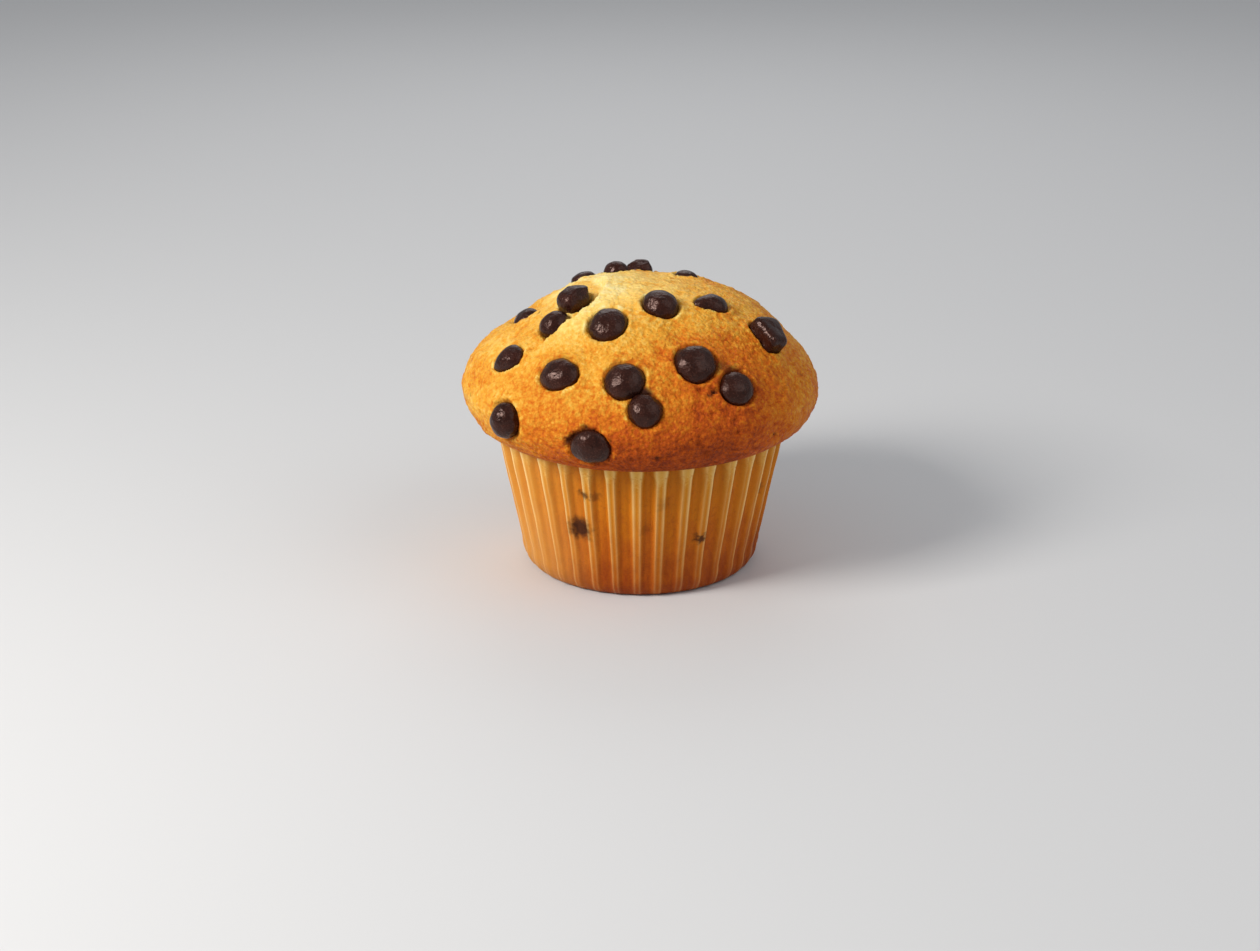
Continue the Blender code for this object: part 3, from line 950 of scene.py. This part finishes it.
# Across one fold: side, place along its flat top (0 to 1) or past it down its flank (1 to 2), how far in
# it is, as a share of the fold's depth, and how strong its pale crest line is there: partly the dry
# paper's own colour, partly painted highlight.
FOLD_SHAPE = (
    (-1, 2.0, 1.0, 0.0), (-1, 1.66, 0.82, 0.0), (-1, 1.33, 0.28, 0.25), (-1, 1.0, 0.0, 1.0),
    (-1, 0.5, 0.04, 0.45), (1, 0.0, 0.08, 0.0), (1, 0.5, 0.04, 0.45),
    (1, 1.0, 0.0, 1.0), (1, 1.33, 0.28, 0.25), (1, 1.66, 0.82, 0.0), (1, 2.0, 1.0, 0.0),
)
# The folds' depth low down and what is added by the rim, in mm, reached this high above the flat base.
FOLD_DEPTHS = (0.22, 0.90)
FOLDS_FULL = 1.2 * MM
# How far a panel bulges out between two folds, as a share of their depth, and its points across.
PANEL_BULGE = 0.10
PANEL_STEPS = 5
# The first fold's place, and half a fold's flat top: low down, what is added by the rim, and by the flare
# that starts at this share of the height. All widths are in pleats.
FIRST_FOLD = 0.81
FLAT_TOP, TOP_GAIN, TOP_FLARE = 0.120, 0.025, 0.045
FLARE_FROM = 0.91
# A fold's crisp flank, and how much wider the easy one is.
CRISP_FLANK, EASY_GAIN = 0.09, 0.20
# Levels of points up the rounded heel, as shares of its height, and up the wall, closer towards the rim.
HEEL_LEVELS = (0.015, 0.06, 0.14, 0.25, 0.40, 0.58, 0.78)
CASE_LEVELS = 38
TOWARDS_RIM = 1.7
CASE_TOP = RIM_HEIGHT + 0.9 * MM


def case_outline(height):
    """Radius of the case at the outside of its folds: a rounded heel, then the straight wall."""
    if height >= HEEL_HEIGHT:
        return wall_radius(height)
    turn = math.acos(1 - height / HEEL_HEIGHT)
    return BASE_RADIUS + (HEEL_RADIUS - BASE_RADIUS) * math.sin(turn)


def fold_widths(pleat, share, chance_of):
    """Where a fold's middle is, half its flat top, its two flanks, and how far it faces right (1) or
    left (-1). Widths are shares of a pleat. Flanks are crisp away from the front, easy towards it."""
    jitter, wider = chance_of[pleat % PLEATS][:2]
    middle = pleat + FIRST_FOLD + jitter
    flare = float(step(FLARE_FROM, 1.0, np.array(share)))
    half = (FLAT_TOP + TOP_GAIN * share + TOP_FLARE * flare) * wider
    facing = math.sin(2 * math.pi * middle / PLEATS)
    flanks = [CRISP_FLANK + EASY_GAIN * (0.5 - 0.5 * side * facing) for side in (-1, 1)]
    return middle, half, flanks, facing


def pleat_ring(height, chance_of):
    """One level of the case: its points, how far each stands off in a fold, and how strong its pale crest
    line, partly painted highlight, is.
    """
    share = min(max(height / RIM_HEIGHT, 0.0), 1.0)
    outer = case_outline(height)
    depth = (FOLD_DEPTHS[0] + FOLD_DEPTHS[1] * share**0.8) * MM * min(1.0, height / FOLDS_FULL)
    places = []
    for pleat in range(PLEATS):
        deeper, lean = chance_of[pleat][2:]
        middle, half, flanks, facing = fold_widths(pleat, share, chance_of)
        for side, reach, inset, crest in FOLD_SHAPE:
            past_top = max(reach - 1, 0) * flanks[0 if side < 0 else 1]
            away = side * (half * min(reach, 1.0) + past_top)
            tilt = 0.12 * lean * side * min(reach, 1.0)
            # Painted highlight and light: the crest line and the paler standing paper are made stronger
            # on the side of each fold away from the front.
            far = 0.5 + 0.5 * side * facing
            places.append((middle + away, 1 - (1 - inset) * deeper + tilt * (1 - inset),
                           crest * (0.10 + 0.90 * far), (1 - inset) * (0.6 + 0.4 * far)))
        start = middle + half + flanks[1]
        next_middle, next_half, next_flanks, _ = fold_widths(pleat + 1, share, chance_of)
        end = next_middle - next_half - next_flanks[0]
        for index in range(1, PANEL_STEPS + 1):
            along = index / (PANEL_STEPS + 1)
            inset = 1 - PANEL_BULGE * math.sin(math.pi * along)
            places.append((start + (end - start) * along, inset, 0.0, 0.0))
    ring = np.array(places)
    angle = 2 * math.pi * ring[:, 0] / PLEATS
    radius = outer - depth * ring[:, 1]
    level = np.full(len(ring), height)
    points = np.stack([radius * np.sin(angle), -radius * np.cos(angle), level], axis=1)
    return points, np.clip(ring[:, 3], 0.0, 1.0), ring[:, 2]


def make_case(finish):
    """The look of the case: a cup drawn up level by level, folded, and given the paper's thickness."""
    chance = random.Random(36)
    # each fold's place, width, depth and lean
    chance_of = [(chance.uniform(-0.05, 0.05), chance.uniform(0.85, 1.15),
                  chance.uniform(0.86, 1.10), chance.uniform(-1, 1)) for _ in range(PLEATS)]
    corners = PLEATS * (PANEL_STEPS + len(FOLD_SHAPE))
    heel = [HEEL_HEIGHT * share for share in HEEL_LEVELS]
    wall = [HEEL_HEIGHT + (CASE_TOP - HEEL_HEIGHT) * (1 - (1 - level / CASE_LEVELS) ** TOWARDS_RIM)
            for level in range(CASE_LEVELS + 1)]
    heights = [0.0] + heel + wall
    bpy.ops.object.select_all(action="DESELECT")
    inner = BASE_RADIUS * 0.5
    bpy.ops.mesh.primitive_circle_add(vertices=corners, radius=inner, fill_type="TRIFAN")
    case = named("pleated_case")
    with editing(case):
        choose_corners(lambda corner: corner.co.length > BASE_RADIUS * 0.4)
        bpy.ops.mesh.extrude_region_move(TRANSFORM_OT_translate={"value": (0, 0, 0)})
        bpy.ops.transform.resize(value=(2.0, 2.0, 1.0), center_override=(0, 0, 0))
        low = 0.0
        for height in heights[1:]:
            climb = (0, 0, height - low)
            bpy.ops.mesh.extrude_region_move(TRANSFORM_OT_translate={"value": climb})
            low = height
        bpy.ops.mesh.select_all(action="SELECT")
        bpy.ops.mesh.normals_make_consistent(inside=False)
    fold_pleats(case, heights, chance_of)
    apply_modifier(case, "SOLIDIFY", thickness=PAPER, offset=-1.0)
    smooth(case, 36)
    case.data.materials.append(finish)
    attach(case, "root")
    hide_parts("paper_case")


def fold_pleats(case, heights, chance_of):
    """Moves each level of the plain cup to its folds and panels."""
    points = points_of(case.data)
    fold = np.zeros(len(points))
    crest = np.zeros(len(points))
    turn = np.arctan2(points[:, 0], -points[:, 1]) % (2 * math.pi)
    on_wall = np.hypot(points[:, 0], points[:, 1]) > BASE_RADIUS * 0.9
    for height in heights:
        level = np.flatnonzero(on_wall & (np.abs(points[:, 2] - height) < 1e-6))
        order = level[np.argsort(turn[level])]
        ring, stands, crests_and_highlights = pleat_ring(height, chance_of)
        sorting = np.argsort(np.arctan2(ring[:, 0], -ring[:, 1]) % (2 * math.pi))
        points[order] = ring[sorting]
        fold[order] = stands[sorting]
        crest[order] = crests_and_highlights[sorting]
    ripple = grain(points, 5 * MM, 21.0) * 0.12 * MM * step(0, HEEL_HEIGHT, points[:, 2])
    out = np.hypot(points[:, 0], points[:, 1])
    grown = 1 + np.where(out > BASE_RADIUS * 0.9, ripple / np.maximum(out, 1e-6), 0)
    points[:, 0] *= grown
    points[:, 1] *= grown
    move_points(case.data, points)
    paint(case.data, "fold", fold)
    # The pale crest line, partly painted highlight.
    paint(case.data, "crest", crest)
    paint(case.data, "height", points[:, 2] / RIM_HEIGHT)
    # Painted light: paler on the case's lit left side, more so low down.
    on_left = step(-6 * MM, -27 * MM, points[:, 0])
    paint(case.data, "paler", on_left * (0.30 + 0.30 * step(24 * MM, 4 * MM, points[:, 2])))


# ---- studio ----


def make_floor():
    bpy.ops.object.select_all(action="DESELECT")
    bpy.ops.mesh.primitive_plane_add(size=8.0, location=(0, 1.5, -0.0001))
    floor = named("studio_floor")
    finish = Finish("pale_floor")
    floor.data.materials.append(finish.finished(Base_Color=colour(212, 212, 213), Roughness=0.9))


def add_light(name, energy, size, place, aim, tint=(1.0, 1.0, 1.0)):
    lamp = bpy.data.lights.new(name, "AREA")
    lamp.energy = energy
    lamp.size = size
    lamp.color = tint
    light = bpy.data.objects.new(name, lamp)
    bpy.context.scene.collection.objects.link(light)
    light.location = place
    light.rotation_euler = (Vector(aim) - Vector(place)).to_track_quat("-Z", "Y").to_euler()


def make_studio():
    world = bpy.data.worlds.new("studio")
    bpy.context.scene.world = world
    world.use_nodes = True
    backdrop = world.node_tree.nodes["Background"]
    backdrop.inputs["Color"].default_value = (0.93, 0.96, 1.0, 1.0)
    backdrop.inputs["Strength"].default_value = 0.36
    middle = (0, 0, 0.035)
    add_light("key", 2.9, 0.20, (-0.39, -0.25, 0.37), middle, (1.0, 0.97, 0.92))
    add_light("fill", 0.8, 0.5, (0.45, -0.22, 0.45), middle)
    add_light("back", 0.5, 0.35, (0.0, 0.45, 0.40), middle)


def make_camera():
    """A long lens, looking a little down from the front, with the muffin just right of the middle."""
    elevation = math.radians(21.0)
    distance = 0.5212
    aim = Vector((-2.15 * MM, 0.0, 17.2 * MM))
    back = Vector((0.0, -math.cos(elevation), math.sin(elevation)))
    lens = bpy.data.cameras.new("camera")
    lens.lens = 71.4
    lens.sensor_width = 36.0
    camera = bpy.data.objects.new("camera", lens)
    bpy.context.scene.collection.objects.link(camera)
    camera.location = aim + back * distance
    camera.rotation_euler = (-back).to_track_quat("-Z", "Y").to_euler()
    bpy.context.scene.camera = camera
    bpy.context.scene.view_settings.view_transform = "Standard"


def main():
    make_camera()
    make_studio()
    make_floor()
    chips = [Chip(name, looks) for name, looks in zip(CHIP_NAMES, CHIP_LOOKS)]
    chocolate = chocolate_finish()
    for number, chip in enumerate(chips):
        make_chip(chip, chocolate, number)
    make_cake(chips, crust_finish())
    make_case(paper_finish())


main()
